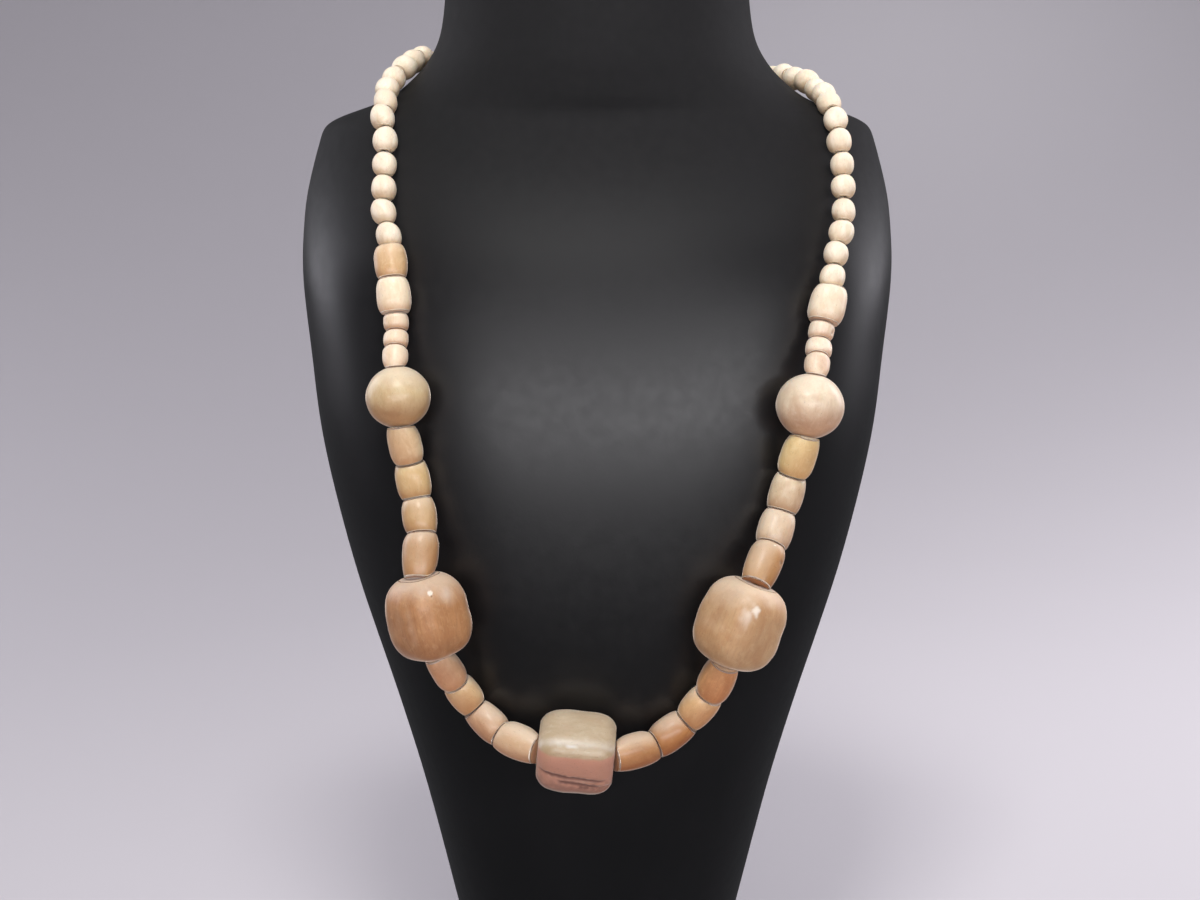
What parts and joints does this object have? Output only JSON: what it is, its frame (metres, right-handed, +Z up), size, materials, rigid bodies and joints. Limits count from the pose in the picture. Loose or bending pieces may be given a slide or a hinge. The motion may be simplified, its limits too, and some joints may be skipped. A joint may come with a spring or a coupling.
{
  "type": "beaded necklace on a neck bust",
  "caption": "Long string of bone-coloured barrel, ball and rounded block beads, worn by a plain satin black neck bust with a flat foot.",
  "frame": {"origin": "middle of the underside of the whole thing's box, on the plane of the bust's flat foot", "axes": "+Z up along the bust, -Y the way its chest faces, +X to the right as seen from the front"},
  "size_m": [0.2132, 0.1684, 0.394],
  "materials": {
    "bust_satin_black": "satin black resin",
    "bone_cream": "polished cream bone",
    "bone_yellow": "polished yellowish bone",
    "bone_pink": "polished pinkish bone",
    "bone_tan": "polished tan bone",
    "bone_orange": "polished orange-brown bone",
    "bone_brown": "polished brown bone",
    "bone_horn": "polished greyish bone with dark streaks",
    "thread": "twisted cotton thread"
  },
  "bodies": {
    "root": {"neck_bust": "bust_satin_black", "thread": "thread", "centre_bead": "bone_horn", "left_barrel_bead_1": "bone_cream", "left_barrel_bead_2": "bone_pink", "left_barrel_bead_3": "bone_cream", "left_barrel_bead_4": "bone_pink", "left_block_bead": "bone_brown", "left_barrel_bead_5": "bone_yellow", "left_barrel_bead_6": "bone_yellow", "left_barrel_bead_7": "bone_yellow", "left_barrel_bead_8": "bone_tan", "left_ball_bead": "bone_tan", "left_spacer_bead_1": "bone_cream", "left_spacer_bead_2": "bone_cream", "left_spacer_bead_3": "bone_cream", "left_barrel_bead_9": "bone_cream", "left_barrel_bead_10": "bone_orange", "left_small_beads": "bone_cream", "right_barrel_bead_1": "bone_orange", "right_barrel_bead_2": "bone_orange", "right_barrel_bead_3": "bone_orange", "right_barrel_bead_4": "bone_brown", "right_block_bead": "bone_tan", "right_barrel_bead_5": "bone_orange", "right_barrel_bead_6": "bone_cream", "right_barrel_bead_7": "bone_pink", "right_barrel_bead_8": "bone_yellow", "right_ball_bead": "bone_pink", "right_spacer_bead_1": "bone_pink", "right_spacer_bead_2": "bone_pink", "right_spacer_bead_3": "bone_pink", "right_barrel_bead_9": "bone_cream", "right_small_beads": "bone_cream"}
  },
  "joints": []
}
